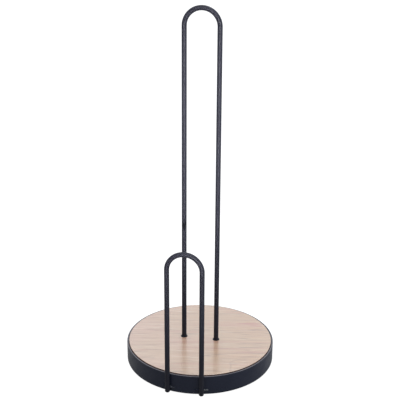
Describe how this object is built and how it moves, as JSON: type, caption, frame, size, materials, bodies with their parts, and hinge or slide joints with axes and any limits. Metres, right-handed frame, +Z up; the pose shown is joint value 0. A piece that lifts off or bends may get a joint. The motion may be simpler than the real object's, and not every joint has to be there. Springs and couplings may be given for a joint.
{
  "type": "paper towel holder",
  "caption": "Free-standing paper towel holder: a wooden disc in a black steel rim, a tall wire hoop as the roll's post and a short wire hoop at the front.",
  "frame": {"origin": "on the vertical axis of the round base, at the table surface under the feet", "axes": "+Z up along the roll's axis; -Y towards the short front hoop; +X to the right, along the plane of both hoops"},
  "size_m": [0.14, 0.1428, 0.34],
  "materials": {
    "powder_coat": "satin black powder coat over steel, with a fine orange-peel texture",
    "wood": "pale close-grained board with a satin lacquer",
    "zinc": "bright zinc plate",
    "rubber": "matt black rubber"
  },
  "bodies": {
    "root": {"base_rim": "powder_coat", "wood_disc": "wood", "centre_hoop": "powder_coat", "front_arm": "powder_coat", "hoop_collar_left": "powder_coat", "hoop_washer_left": "zinc", "hoop_nut_left": "zinc", "arm_weld_left": "powder_coat", "hoop_collar_right": "powder_coat", "hoop_washer_right": "zinc", "hoop_nut_right": "zinc", "arm_weld_right": "powder_coat", "rubber_foot_front_left": "rubber", "foot_screw_front_left": "zinc", "rubber_foot_front_right": "rubber", "foot_screw_front_right": "zinc", "rubber_foot_rear_left": "rubber", "foot_screw_rear_left": "zinc", "rubber_foot_rear_right": "rubber", "foot_screw_rear_right": "zinc"}
  },
  "joints": []
}
